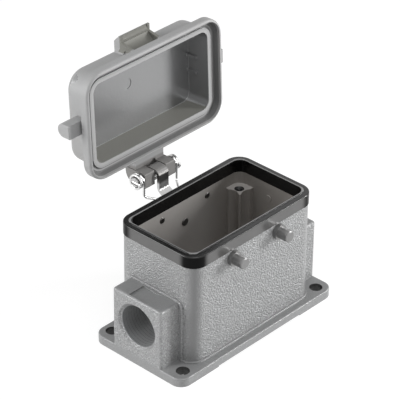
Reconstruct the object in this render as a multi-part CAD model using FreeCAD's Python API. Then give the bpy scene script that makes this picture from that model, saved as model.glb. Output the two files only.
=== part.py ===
# Rectangular connector base housing with a spring-hinged metal cover, shown with the cover open.
# Millimetres, +Z up. The origin is the middle of the fixing-hole pattern on the mounting plane.
# The long sides face -Y (front, free side) and +Y (hinge side).
import FreeCAD
import Part
import math
import os

V = FreeCAD.Vector
X_DIR = V(1, 0, 0)
Y_DIR = V(0, 1, 0)
Z_DIR = V(0, 0, 1)

# Fixing holes and flange
HOLE_HALF_X = 41.0
HOLE_HALF_Y = 20.0
HOLE_R = 2.75
HOLE_MARGIN_X = 6.0
HOLE_MARGIN_Y = 5.0
FLANGE_CORNER = 5.0
FLANGE_THICK = 4.0
FLANGE_EDGE = 0.6
RELIEF_MARGIN = 16.0
RELIEF_DEPTH = 0.5

# Body, foot step and walls
BODY_HALF_X = 36.2
BODY_HALF_Y = 21.2
BODY_CORNER = 6.3
RIM_TOP = 55.45
END_WALL = 3.0
SIDE_WALL = 3.3
CAVITY_CORNER = 4.0
FLOOR_THICK = 2.6
FOOT_PROUD = 0.8
FOOT_HEIGHT = 0.9

# Rim seal and the tongue it sits on
BAND_HEIGHT = 5.6
BAND_PROUD = 0.3
SEAL_OUTER_LEG = 0.8
SEAL_INNER_LEG = 1.0
SEAL_CROWN = 1.2
SEAL_TAPER = 0.4
SEAL_LIP = 0.25
SEAL_LIP_WIDE = 0.9
SEAL_EDGE = 0.5
TONGUE_EDGE = 0.3

# Corner pillars that take the insert's screws
PILLAR_DOWN = 11.05
PILLAR_HALF_X = 28.5
PILLAR_HALF_Y = 13.5
PILLAR_LAP_X = 3.4
PILLAR_LAP_Y = 3.6
PILLAR_NOSE = 0.6
PILLAR_FLUTE_R = 4.4
PILLAR_FLUTE_DEPTH = 1.0
TAP_R = 1.65
TAP_DEPTH = 12.0
TAP_CHAMFER = 0.35

# Ejector pad on the right-hand cavity wall
EJECT_R = 1.6
EJECT_PROUD = 0.3
EJECT_DOWN = 12.75
EJECT_Y = 1.3

# Cable entries and their bosses on the short sides
ENTRY_Z = 18.5
ENTRY_R = 9.2
ENTRY_CHAMFER = 1.2
BOSS_SIDE_WALL = 4.3
BOSS_TOP_WALL = 4.2
BOSS_EDGE = 1.2
PAD_PROUD = 0.8
PAD_MARGIN_Y = 1.9
PAD_MARGIN_Z = 0.8
PAD_CORNER = 3.0
PAD_EDGE = 0.4
PANEL_HALF_Y = 5.0
PANEL_LONG = 8.2
PANEL_LIP = 0.9
PANEL_DEPTH = 0.6

# Locking pins on the long sides
PIN_HALF_X = 13.5
PIN_DOWN = 9.45
PIN_COLLAR_R = 3.35
PIN_COLLAR_LONG = 1.8
PIN_SHANK_R = 2.5
PIN_SHANK_LONG = 5.0
PIN_STEM_R = 1.1
PIN_RIVET_R = 1.5
PIN_RIVET_SLOPE = 0.4
PIN_RIVET_LONG = 0.35
PIN_CHAMFER = 0.35

# Hinge axis and cover swing
PIVOT_OUT = 13.82
PIVOT_UP = 0.83
OPEN_DEG = 92.67
AXLE_R = 2.0
AXLE_CHAMFER = 0.3
AXLE_RUN = 0.05
AXLE_PAST_COIL = 0.05

# Cover rim, seal groove and seal lip
SKIRT_PLAY = 1.2
SKIRT_WALL = 1.4
SKIRT_DRAFT = 0.5
SKIRT_CORNER = 7.0
RIM_CORNER = 9.3
RIM_DEEP = 3.8
RIM_EDGE = 1.1
GROOVE_FLOOR = 3.2
LIP_LEVEL = 2.5
LIP_WIDE = 2.0
LIP_CORNER = 6.0
LIP_GAP = 0.3

# Cover body
COVER_DEEP = 15.7
SHELL_INSET = 0.1
SHELL_TAPER = 0.6
SHELL_CORNER = 8.7
SHELL_WALL = 3.1
ROOF_THICK = 2.0
ROOF_EDGE = 2.6
INSIDE_TAPER = 0.4
INSIDE_CORNER = 4.0
COVER_RIB_Y = 3.5
COVER_RIB_WIDE = 1.4
COVER_RIB_PROUD = 0.9
COVER_RIB_HIGH = 5.2
MARK_X = -3.5
MARK_Y = -3.7
MARK_R = 2.4
MARK_DEEP = 0.2

# Side lugs of the cover
LUG_REACH = 5.9
LUG_BEHIND_RIM = 1.2
LUG_DEEP = 6.6
LUG_HALF = 3.05
LUG_SHIFT = 0.85
LUG_EDGE = 0.5

# Finger lift on the free side of the cover
LIFT_HALF = 8.3
LIFT_REACH = 6.5
LIFT_TIP_THICK = 1.0
LIFT_TIP_DOWN = 4.5
LIFT_BACK_DOWN = 0.6
LIFT_CHEEK = 1.3
LIFT_CHEEK_TALL = 3.7
LIFT_CHEEK_LOW = 2.1
LIFT_FOOT_FLARE = 1.9
LIFT_FOOT_TALL = 1.0
LIFT_FOOT_LONG = 4.2
LIFT_FOOT_DOWN = 1.9
LIFT_SCOOP_OVER = 0.3

# Bracket and its rivet
SHEET = 1.3
BRACKET_HALF = 5.1
ARM_HALF = 2.8
ARM_BEFORE_CURL = 1.75
KNEE_BELOW_COVER = 2.75
BEND_BELOW_KNEE = 5.5
BEND_R = 2.2
WRAP_DEG = 200.0
WRAP_STEPS = 20
WIDE_REACH = 3.0
RIVET_BELOW_BEND = 5.8
FOOT_BELOW_RIVET = 5.7
RIVET_R = 1.2
RIVET_HEAD_R = 3.2
RIVET_HEAD_LONG = 1.4
RIVET_HEAD_EDGE = 1.0
RIVET_TAIL_R = 1.75
RIVET_TAIL_LONG = 0.5
RIVET_TAIL_EDGE = 0.3
RIB_WIDE = 1.2
RIB_PROUD = 1.1
RIB_GAP = 0.15
RIB_HALF_HIGH = 4.7

# Hinge lug of the cover
NOTCH_PLAY = 0.6
CURL_CLEAR = 0.42
EAR_WIDE = 5.4
NECK_STEP = 0.5
NECK_GAP = 2.2
WEB_OVER_NOTCH = 1.6
CHEEK_THICK = 1.6
CHEEK_BELOW_ROOF = 4.3
CHEEK_ARC_R = 5.0
CHEEK_STEPS = 6
BARREL_FRONT = 3.22
BARREL_BACK = 3.48
BARREL_EDGE = 0.5

# Torsion spring
WIRE_R = 0.56
COIL_PLAY = 0.4
COIL_SIDE_PLAY = 0.3
COIL_GAP = 0.08
COIL_TURNS = 2
COIL_STEPS = 16
HOOK_ANGLE = 0.36
HOOK_PAST_AXIS = 1.2
HOOK_STEPS = 4
SLOT_GAP = 0.08
BRIDGE_CLEAR = 0.3
BRIDGE_HALF = 6.6
BRIDGE_REST = 0.02
LEG_ABOVE_BRIDGE = 6.0
LEG_TURN_Y = 6.8
LEG_TURN_DROP = 0.4
WIRE_BEND = 1.6
BEND_STEPS = 5

# Overrun of a cut past the face that it leaves
PAST = 1.0

# Sizes that follow: flange, cavity and rim
FLANGE_HALF_X = HOLE_HALF_X + HOLE_MARGIN_X
FLANGE_HALF_Y = HOLE_HALF_Y + HOLE_MARGIN_Y
CAVITY_HALF_X = BODY_HALF_X - END_WALL
CAVITY_HALF_Y = BODY_HALF_Y - SIDE_WALL
BAND_LOW = RIM_TOP - BAND_HEIGHT
BAND_HALF_X = BODY_HALF_X + BAND_PROUD
BAND_HALF_Y = BODY_HALF_Y + BAND_PROUD
SEAL_FLAT = RIM_TOP - SEAL_LIP
TONGUE_TOP = RIM_TOP - SEAL_CROWN
PILLAR_TOP = RIM_TOP - PILLAR_DOWN
PIN_Z = RIM_TOP - PIN_DOWN
BOSS_HALF_Y = ENTRY_R + BOSS_SIDE_WALL
BOSS_TOP = ENTRY_Z + ENTRY_R + BOSS_TOP_WALL

# Sizes that follow: cover, measured from its rim plane, and its closed height
COVER_HALF_X = BAND_HALF_X + SKIRT_PLAY + SKIRT_WALL
COVER_HALF_Y = BAND_HALF_Y + SKIRT_PLAY + SKIRT_WALL
SHELL_HALF_X = BODY_HALF_X - SHELL_INSET
SHELL_HALF_Y = BODY_HALF_Y - SHELL_INSET
INSIDE_HALF_X = SHELL_HALF_X - SHELL_WALL
INSIDE_HALF_Y = SHELL_HALF_Y - SHELL_WALL
CEILING = COVER_DEEP - ROOF_THICK
COVER_Z = RIM_TOP + LIP_GAP - LIP_LEVEL

# Sizes that follow: hinge
PIVOT_Y = BODY_HALF_Y + PIVOT_OUT
PIVOT_Z = RIM_TOP + PIVOT_UP
KNEE_Z = COVER_Z - KNEE_BELOW_COVER
BRACKET_BEND = KNEE_Z - BEND_BELOW_KNEE
RIVET_Z = BRACKET_BEND - RIVET_BELOW_BEND
CURL_R = AXLE_R + AXLE_RUN + SHEET
NOTCH_HALF = ARM_HALF + NOTCH_PLAY
NOTCH_ROOF = PIVOT_Z - COVER_Z + CURL_R + CURL_CLEAR
BARREL_HALF = NOTCH_HALF + EAR_WIDE
BARREL_NEAR = PIVOT_Y - BARREL_FRONT
BARREL_FAR = PIVOT_Y + BARREL_BACK
NECK_LOW = RIM_DEEP + NECK_GAP
COIL_MEAN_R = AXLE_R + COIL_PLAY + WIRE_R
COIL_PITCH = 2 * WIRE_R + COIL_GAP
COIL_START = BARREL_HALF + COIL_SIDE_PLAY + WIRE_R
COIL_END = COIL_START + COIL_TURNS * COIL_PITCH
AXLE_SLOT = COIL_END - WIRE_R - SLOT_GAP
AXLE_HALF = COIL_END + WIRE_R + AXLE_PAST_COIL
BRIDGE_Z = RIVET_Z + RIVET_HEAD_R + BRIDGE_CLEAR + WIRE_R
LEG_LOW = BRIDGE_Z + LEG_ABOVE_BRIDGE


def outline(half_x, half_y, radius, z):
    """A closed rounded rectangle about the Z axis at height z."""
    block = Part.makeBox(2 * half_x, 2 * half_y, 1, V(-half_x, -half_y, z))
    upright = [e for e in block.Edges if abs(e.tangentAt(e.FirstParameter).z) > 0.9]
    block = block.makeFillet(radius, upright)
    low = min(block.Faces, key=lambda face: face.CenterOfMass.z)
    return low.OuterWire


def prism(half_x, half_y, radius, z_low, z_high):
    """A rounded rectangular block between two heights."""
    face = Part.Face(outline(half_x, half_y, radius, z_low))
    return face.extrude(V(0, 0, z_high - z_low))


def tapered(low, high, z_low, z_high):
    """A rounded rectangular block that changes from one outline to another."""
    wires = [outline(*low, z_low), outline(*high, z_high)]
    return Part.makeLoft(wires, True, True)


def box(x_pair, y_pair, z_pair):
    """An axis-aligned box between three pairs of coordinates."""
    size = [pair[1] - pair[0] for pair in (x_pair, y_pair, z_pair)]
    return Part.makeBox(*size, V(x_pair[0], y_pair[0], z_pair[0]))


def rod(radius, start, direction, length):
    """A cylinder from a start point along a direction."""
    return Part.makeCylinder(radius, length, start, direction)


def cone(r_start, r_end, start, direction, length):
    """A truncated cone from a start point along a direction."""
    return Part.makeCone(r_start, r_end, length, start, direction)


def profile_yz(points, half_x):
    """A closed outline in the YZ plane, extruded to both sides of X = 0."""
    corners = [V(-half_x, y, z) for y, z in points]
    face = Part.Face(Part.makePolygon(corners + corners[:1]))
    return face.extrude(V(2 * half_x, 0, 0))


def rounded(shape, radius, wanted):
    """Fillet of the edges that meet a test."""
    edges = [edge for edge in shape.Edges if wanted(edge)]
    return shape.makeFillet(radius, edges)


def at_height(z):
    """Test for edges that lie wholly at one height."""
    def wanted(edge):
        bounds = edge.BoundBox
        return abs(bounds.ZMin - z) < 0.01 and abs(bounds.ZMax - z) < 0.01
    return wanted


def upright_edge(edge):
    """Test for straight vertical edges."""
    bounds = edge.BoundBox
    return bounds.XLength < 0.01 and bounds.YLength < 0.01


def fuse(shapes):
    """One clean solid from several that touch or overlap."""
    joined = shapes[0].multiFuse(shapes[1:])
    return joined.removeSplitter()


def corner_signs():
    """The four quadrants, in order round the body."""
    return [(-1, -1), (1, -1), (1, 1), (-1, 1)]


def flange():
    """Mounting flange with rounded top edges."""
    plate = prism(FLANGE_HALF_X, FLANGE_HALF_Y, FLANGE_CORNER, 0, FLANGE_THICK)
    return rounded(plate, FLANGE_EDGE, at_height(FLANGE_THICK))


def boss(side):
    """Cable boss on one short side, flush with the end of the flange."""
    root = BODY_HALF_X - PAST
    block = box((root, FLANGE_HALF_X), (-BOSS_HALF_Y, BOSS_HALF_Y), (0, BOSS_TOP))

    def outer(edge):
        bounds = edge.BoundBox
        on_top = at_height(BOSS_TOP)(edge) and bounds.XMax > BODY_HALF_X
        on_face = bounds.XMin > FLANGE_HALF_X - 0.01 and bounds.ZMax > FLANGE_THICK
        return on_top or (on_face and upright_edge(edge))

    block = rounded(block, BOSS_EDGE, outer)
    far = BODY_HALF_X + PAD_PROUD
    pad_half = BOSS_HALF_Y + PAD_MARGIN_Y
    pad_top = BOSS_TOP + PAD_MARGIN_Z
    pad = box((root, far), (-pad_half, pad_half), (0, pad_top))
    pad = rounded(pad, PAD_CORNER, lambda edge: edge.BoundBox.XLength > PAST and at_height(pad_top)(edge))
    pad = rounded(pad, PAD_EDGE, lambda edge: edge.BoundBox.XMin > far - 0.01 and edge.BoundBox.ZMax > 1)
    both = fuse([block, pad])
    if side < 0:
        both = both.mirror(V(0, 0, 0), X_DIR)
    return both


def entry(side):
    """Bore of a cable entry with its chamfered mouth, to be cut from a boss."""
    inward = V(-side, 0, 0)
    mouth = V(side * FLANGE_HALF_X, 0, ENTRY_Z)
    bore = rod(ENTRY_R, mouth, inward, FLANGE_HALF_X - CAVITY_HALF_X + PAST)
    flare = cone(ENTRY_R + ENTRY_CHAMFER, ENTRY_R, mouth, inward, ENTRY_CHAMFER)
    return bore.fuse(flare)


def pillar(sign_x, sign_y):
    """Corner pillar with a concave flute in each open face, not yet tapped."""
    reach_x = PILLAR_HALF_X - PILLAR_LAP_X
    reach_y = PILLAR_HALF_Y - PILLAR_LAP_Y
    block = box((reach_x, CAVITY_HALF_X + PAST), (reach_y, CAVITY_HALF_Y + PAST), (FLOOR_THICK - PAST, PILLAR_TOP))
    block = rounded(block, PILLAR_NOSE, lambda edge: upright_edge(edge) and edge.BoundBox.XMax < reach_x + 0.01
                    and edge.BoundBox.YMax < reach_y + 0.01)
    back_off = PILLAR_FLUTE_R - PILLAR_FLUTE_DEPTH
    for middle in (V(reach_x - back_off, PILLAR_HALF_Y, 0), V(PILLAR_HALF_X, reach_y - back_off, 0)):
        block = block.cut(rod(PILLAR_FLUTE_R, middle, Z_DIR, RIM_TOP))
    if sign_x < 0:
        block = block.mirror(V(0, 0, 0), X_DIR)
    if sign_y < 0:
        block = block.mirror(V(0, 0, 0), Y_DIR)
    return block


def tapped_hole(sign_x, sign_y):
    """Core hole for an insert screw, with a small lead-in."""
    top = V(sign_x * PILLAR_HALF_X, sign_y * PILLAR_HALF_Y, PILLAR_TOP)
    core = rod(TAP_R, top, V(0, 0, -1), TAP_DEPTH)
    lead = cone(TAP_R + TAP_CHAMFER, TAP_R, top, V(0, 0, -1), TAP_CHAMFER)
    return core.fuse(lead)


def rim_tongue():
    """Thin wall on top of the body that carries the rim seal."""
    outer_x = BODY_HALF_X - SEAL_OUTER_LEG
    outer_y = BODY_HALF_Y - SEAL_OUTER_LEG
    tongue = prism(outer_x, outer_y, BODY_CORNER - SEAL_OUTER_LEG, BAND_LOW - PAST, TONGUE_TOP)
    tongue = rounded(tongue, TONGUE_EDGE, at_height(TONGUE_TOP))
    inner_x = CAVITY_HALF_X + SEAL_INNER_LEG
    inner_y = CAVITY_HALF_Y + SEAL_INNER_LEG
    return tongue.cut(prism(inner_x, inner_y, CAVITY_CORNER + SEAL_INNER_LEG, BAND_LOW - PAST, RIM_TOP))


def bracket_ribs():
    """Two low cast ribs that keep the bracket foot from turning on its one rivet."""
    ribs = []
    for side in (-1, 1):
        near = BRACKET_HALF + RIB_GAP
        x_pair = sorted([side * near, side * (near + RIB_WIDE)])
        z_pair = (RIVET_Z - RIB_HALF_HIGH, RIVET_Z + RIB_HALF_HIGH)
        ribs.append(box(x_pair, (BODY_HALF_Y - PAST, BODY_HALF_Y + RIB_PROUD), z_pair))
    return ribs


def base_housing():
    """One-piece die casting: flange, body, cable bosses, pillars and rim tongue."""
    foot_top = FLANGE_THICK + FOOT_HEIGHT
    foot = prism(BODY_HALF_X + FOOT_PROUD, BODY_HALF_Y + FOOT_PROUD, BODY_CORNER + FOOT_PROUD, PAST, foot_top)
    foot = rounded(foot, FOOT_PROUD / 2, at_height(foot_top))
    body = prism(BODY_HALF_X, BODY_HALF_Y, BODY_CORNER, 0, BAND_LOW)
    solid = fuse([flange(), foot, body, boss(-1), boss(1)] + bracket_ribs())

    cavity = prism(CAVITY_HALF_X, CAVITY_HALF_Y, CAVITY_CORNER, FLOOR_THICK, RIM_TOP)
    for sign_x, sign_y in corner_signs():
        cavity = cavity.cut(pillar(sign_x, sign_y))
    solid = fuse([solid.cut(cavity), rim_tongue()])

    cuts = [entry(-1), entry(1)]
    relief = HOLE_HALF_X - RELIEF_MARGIN
    cuts.append(box((-relief, relief), (-FLANGE_HALF_Y, FLANGE_HALF_Y), (0, RELIEF_DEPTH)))
    panel_near = -FLANGE_HALF_X + PANEL_LIP
    panel_z = (BOSS_TOP - PANEL_DEPTH, BOSS_TOP + PAST)
    cuts.append(box((panel_near, panel_near + PANEL_LONG), (-PANEL_HALF_Y, PANEL_HALF_Y), panel_z))
    through = SIDE_WALL + 2 * PAST
    for sign_x, sign_y in corner_signs():
        foot_point = V(sign_x * HOLE_HALF_X, sign_y * HOLE_HALF_Y, 0)
        cuts.append(rod(HOLE_R, foot_point, Z_DIR, FLANGE_THICK + PAST))
        cuts.append(tapped_hole(sign_x, sign_y))
        wall = V(sign_x * PIN_HALF_X, sign_y * (CAVITY_HALF_Y - PAST), PIN_Z)
        cuts.append(rod(PIN_STEM_R, wall, V(0, sign_y, 0), through))
    cuts.append(rod(RIVET_R, V(0, CAVITY_HALF_Y - PAST, RIVET_Z), Y_DIR, through))
    for cut in cuts:
        solid = solid.cut(cut)
    spot = V(CAVITY_HALF_X - EJECT_PROUD, EJECT_Y, RIM_TOP - EJECT_DOWN)
    return fuse([solid, rod(EJECT_R, spot, X_DIR, EJECT_PROUD + PAST)])


def rim_gasket():
    """Elastomer seal of U section that sits over the rim tongue, with a raised inner lip."""
    outer = prism(BAND_HALF_X, BAND_HALF_Y, BODY_CORNER + BAND_PROUD, BAND_LOW, SEAL_FLAT)
    outer = rounded(outer, SEAL_EDGE, at_height(SEAL_FLAT))
    mouth_x = CAVITY_HALF_X + SEAL_TAPER
    mouth_y = CAVITY_HALF_Y + SEAL_TAPER
    lip = prism(mouth_x + SEAL_LIP_WIDE, mouth_y + SEAL_LIP_WIDE, CAVITY_CORNER + SEAL_LIP_WIDE, SEAL_FLAT - PAST, RIM_TOP)
    lip = rounded(lip, SEAL_LIP * 0.8, at_height(RIM_TOP))
    low = (CAVITY_HALF_X, CAVITY_HALF_Y, CAVITY_CORNER)
    high = (mouth_x, mouth_y, CAVITY_CORNER)
    opening = tapered(low, high, BAND_LOW, RIM_TOP)
    return fuse([outer, lip]).cut(opening).cut(rim_tongue())


def locking_pin(sign_x, sign_y):
    """Collared pin riveted through a long wall; the locking lever of a hood hooks on it."""
    out = V(0, sign_y, 0)

    def point(depth):
        return V(sign_x * PIN_HALF_X, sign_y * depth, PIN_Z)

    stem = rod(PIN_STEM_R, point(CAVITY_HALF_Y), out, SIDE_WALL)
    head = cone(PIN_RIVET_R - PIN_RIVET_SLOPE, PIN_RIVET_R, point(CAVITY_HALF_Y - PIN_RIVET_LONG), out, PIN_RIVET_LONG)
    collar = rod(PIN_COLLAR_R, point(BODY_HALF_Y), out, PIN_COLLAR_LONG)
    shank_long = PIN_COLLAR_LONG + PIN_SHANK_LONG - PIN_CHAMFER
    shank = rod(PIN_SHANK_R, point(BODY_HALF_Y), out, shank_long)
    tip = cone(PIN_SHANK_R, PIN_SHANK_R - PIN_CHAMFER, point(BODY_HALF_Y + shank_long), out, PIN_CHAMFER)
    return fuse([stem, head, collar, shank, tip])


def bent(points, radius, steps):
    """Points with every inner corner replaced by an arc."""
    path = [points[0]]
    for index in range(1, len(points) - 1):
        here = points[index]
        back = (points[index - 1] - here).normalize()
        ahead = (points[index + 1] - here).normalize()
        half = back.getAngle(ahead) / 2
        middle = here + (back + ahead).normalize() * (radius / math.sin(half))
        start = here + back * (radius / math.tan(half)) - middle
        end = here + ahead * (radius / math.tan(half)) - middle
        for step in range(steps + 1):
            part = step / steps
            path.append(middle + (start * (1 - part) + end * part).normalize() * radius)
    path.append(points[-1])
    return path


def bracket_path():
    """Middle line of the bracket sheet from the wall foot to the tip of the curl."""
    wall = BODY_HALF_Y + SHEET / 2
    middle_r = CURL_R - SHEET / 2
    rise_y = PIVOT_Y - middle_r - ARM_BEFORE_CURL
    crown = PIVOT_Z + middle_r
    corners = [V(0, wall, RIVET_Z - FOOT_BELOW_RIVET), V(0, wall, BRACKET_BEND), V(0, rise_y, KNEE_Z),
               V(0, rise_y, crown), V(0, PIVOT_Y, crown)]
    path = bent(corners, BEND_R, BEND_STEPS)
    for step in range(1, WRAP_STEPS + 1):
        angle = math.radians(90 - WRAP_DEG * step / WRAP_STEPS)
        path.append(V(0, PIVOT_Y + middle_r * math.cos(angle), PIVOT_Z + middle_r * math.sin(angle)))
    return path


def sheet_strip(path, half_x):
    """A strip of bent sheet of constant thickness along a path in the YZ plane."""
    upper = []
    lower = []
    for index, point in enumerate(path):
        before = path[max(index - 1, 0)]
        after = path[min(index + 1, len(path) - 1)]
        side = X_DIR.cross((after - before).normalize()) * (SHEET / 2)
        upper.append(point + side)
        lower.append(point - side)
    return profile_yz([(point.y, point.z) for point in upper + lower[::-1]], half_x)


def hinge_bracket():
    """Sheet bracket: wide foot on the hinge-side wall, narrow arm curled over and round the axle."""
    path = bracket_path()
    near_wall = (BODY_HALF_Y, BODY_HALF_Y + WIDE_REACH)
    wide = sheet_strip([point for point in path if point.z < COVER_Z], BRACKET_HALF)
    wide = wide.common(box((-BRACKET_HALF, BRACKET_HALF), near_wall, (0, COVER_Z)))
    narrow = sheet_strip(path, ARM_HALF)
    strap = fuse([wide, narrow])
    strap = strap.cut(rod(RIVET_R, V(0, BODY_HALF_Y - PAST, RIVET_Z), Y_DIR, SHEET + 2 * PAST))
    return strap.cut(rod(AXLE_R + AXLE_RUN, V(-NOTCH_HALF, PIVOT_Y, PIVOT_Z), X_DIR, 2 * NOTCH_HALF))


def bracket_rivet():
    """Rivet through the bracket foot and the wall, headed on both sides."""
    wall_in = CAVITY_HALF_Y
    face_out = BODY_HALF_Y + SHEET
    stem = rod(RIVET_R, V(0, wall_in, RIVET_Z), Y_DIR, face_out - wall_in)
    head = rod(RIVET_HEAD_R, V(0, face_out, RIVET_Z), Y_DIR, RIVET_HEAD_LONG)
    tail = rod(RIVET_TAIL_R, V(0, wall_in - RIVET_TAIL_LONG, RIVET_Z), Y_DIR, RIVET_TAIL_LONG)
    crown = face_out + RIVET_HEAD_LONG - 0.01
    head = rounded(head, RIVET_HEAD_EDGE, lambda edge: edge.BoundBox.YMin > crown)
    tail = rounded(tail, RIVET_TAIL_EDGE, lambda edge: edge.BoundBox.YMax < wall_in - 0.01)
    return fuse([stem, head, tail])


def swung(shape):
    """A cover shape moved from the closed place to the open rest place."""
    turned = shape.copy()
    turned.rotate(V(0, PIVOT_Y, PIVOT_Z), X_DIR, -OPEN_DEG)
    return turned


def hinge_axle():
    """Axle with a cross slot in each end that anchors the spring."""
    axle = rod(AXLE_R, V(-AXLE_HALF, PIVOT_Y, PIVOT_Z), X_DIR, 2 * AXLE_HALF)
    ends = [edge for edge in axle.Edges if edge.BoundBox.XLength < 0.01]
    axle = axle.makeChamfer(AXLE_CHAMFER, ends)
    slot_half = WIRE_R + SLOT_GAP
    y_pair = (PIVOT_Y - AXLE_R - PAST, PIVOT_Y + AXLE_R + PAST)
    z_pair = (PIVOT_Z - slot_half, PIVOT_Z + slot_half)
    for side in (-1, 1):
        x_pair = sorted([side * AXLE_SLOT, side * (AXLE_HALF + PAST)])
        axle = axle.cut(box(x_pair, y_pair, z_pair))
    return axle


def coil_points():
    """Middle line of the left hook and coil, from the axle's slot to the top of the leg."""
    steps = COIL_TURNS * COIL_STEPS
    total = 2 * math.pi * COIL_TURNS - HOOK_ANGLE
    bend_r = COIL_MEAN_R * math.sin(HOOK_ANGLE) / (1 + math.sin(HOOK_ANGLE))
    end_x = -COIL_START - COIL_PITCH * total / (2 * math.pi)
    reach = (bend_r - COIL_MEAN_R) * math.cos(HOOK_ANGLE)
    points = [V(end_x, PIVOT_Y + HOOK_PAST_AXIS, PIVOT_Z), V(end_x, PIVOT_Y, PIVOT_Z)]
    turned = math.pi / 2 + HOOK_ANGLE
    for step in range(HOOK_STEPS):
        angle = math.pi / 2 + turned * step / HOOK_STEPS
        y = PIVOT_Y + reach + bend_r * math.cos(angle)
        z = PIVOT_Z - bend_r + bend_r * math.sin(angle)
        points.append(V(end_x, y, z))
    for step in range(steps + 1):
        angle = total * (1 - step / steps)
        x = -COIL_START - COIL_PITCH * angle / (2 * math.pi)
        y = PIVOT_Y - COIL_MEAN_R * math.cos(angle)
        z = PIVOT_Z + COIL_MEAN_R * math.sin(angle)
        points.append(V(x, y, z))
    return points


def wire_through(points):
    """Round wire through points, lofted over rings that are carried along without twist."""
    rings = []
    normal = V(1, 0, 0)
    for index, point in enumerate(points):
        before = points[max(index - 1, 0)]
        after = points[min(index + 1, len(points) - 1)]
        ahead = (after - before).normalize()
        normal = (normal - ahead * normal.dot(ahead)).normalize()
        ring = Part.makeCircle(WIRE_R)
        turn = FreeCAD.Rotation(normal, ahead.cross(normal), ahead, "ZXY")
        ring.Placement = FreeCAD.Placement(point, turn)
        rings.append(Part.Wire(ring))
    return Part.makeLoft(rings, True, True)


def torsion_spring():
    """Double torsion spring: a hook and coil at each end, two legs and a bridge over the bracket."""
    bridge_y = BODY_HALF_Y + SHEET + WIRE_R + BRIDGE_REST
    leg_y = PIVOT_Y - COIL_MEAN_R
    left = [V(-COIL_START, leg_y, PIVOT_Z), V(-COIL_START, leg_y, LEG_LOW),
            V(-BRIDGE_HALF, BODY_HALF_Y + LEG_TURN_Y, LEG_LOW - LEG_TURN_DROP),
            V(-BRIDGE_HALF, bridge_y, BRIDGE_Z), V(0, bridge_y, BRIDGE_Z)]
    line = coil_points() + bent(left, WIRE_BEND, BEND_STEPS)[1:]
    right = [V(-point.x, point.y, point.z) for point in line[:-1]]
    return wire_through(line + right[::-1])


def cover_shell():
    """Outside of the cover: collar, tapered body and rounded roof, still solid."""
    collar = prism(COVER_HALF_X, COVER_HALF_Y, RIM_CORNER, 0, RIM_DEEP)
    collar = rounded(collar, RIM_EDGE, at_height(0))
    low = (SHELL_HALF_X, SHELL_HALF_Y, SHELL_CORNER)
    high = (SHELL_HALF_X - SHELL_TAPER, SHELL_HALF_Y - SHELL_TAPER, SHELL_CORNER - SHELL_TAPER)
    body = tapered(low, high, RIM_DEEP, COVER_DEEP)
    body = rounded(body, ROOF_EDGE, at_height(COVER_DEEP))
    return fuse([collar, body])


def cover_hollow():
    """Space inside the cover: seal groove round its lip, and the inside with two ribs a side."""
    mouth_x = BAND_HALF_X + SKIRT_PLAY
    mouth_y = BAND_HALF_Y + SKIRT_PLAY
    mouth = (mouth_x, mouth_y, SKIRT_CORNER)
    root = (mouth_x - SKIRT_DRAFT, mouth_y - SKIRT_DRAFT, SKIRT_CORNER)
    groove = tapered(mouth, root, 0, GROOVE_FLOOR)
    groove = groove.cut(prism(INSIDE_HALF_X + LIP_WIDE, INSIDE_HALF_Y + LIP_WIDE, LIP_CORNER, LIP_LEVEL, COVER_DEEP))
    low = (INSIDE_HALF_X, INSIDE_HALF_Y, INSIDE_CORNER)
    high = (INSIDE_HALF_X - INSIDE_TAPER, INSIDE_HALF_Y - INSIDE_TAPER, INSIDE_CORNER)
    inside = tapered(low, high, LIP_LEVEL, CEILING)
    for side in (-1, 1):
        x_pair = sorted([side * (high[0] - COVER_RIB_PROUD), side * (INSIDE_HALF_X + PAST)])
        for middle in (-COVER_RIB_Y, COVER_RIB_Y):
            y_pair = (middle - COVER_RIB_WIDE / 2, middle + COVER_RIB_WIDE / 2)
            inside = inside.cut(box(x_pair, y_pair, (CEILING - COVER_RIB_HIGH, COVER_DEEP)))
    mark = rod(MARK_R, V(MARK_X, MARK_Y, CEILING), Z_DIR, MARK_DEEP)
    return fuse([groove, inside, mark])


def side_lug(side):
    """D-shaped lug at one short side of the cover, flat towards the collar."""
    root = SHELL_HALF_X - SHELL_TAPER - PAST
    end = COVER_HALF_X + LUG_REACH
    face = RIM_DEEP + LUG_BEHIND_RIM
    axis_z = face + LUG_DEEP - LUG_HALF
    block = box((root, end), (-LUG_SHIFT - LUG_HALF, -LUG_SHIFT + LUG_HALF), (face, axis_z))
    nose = rod(LUG_HALF, V(root, -LUG_SHIFT, axis_z), X_DIR, end - root)
    lug = fuse([block, nose])
    lug = rounded(lug, LUG_EDGE, lambda edge: edge.BoundBox.XMin > end - 0.01)
    if side < 0:
        lug = lug.mirror(V(0, 0, 0), X_DIR)
    return lug


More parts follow.
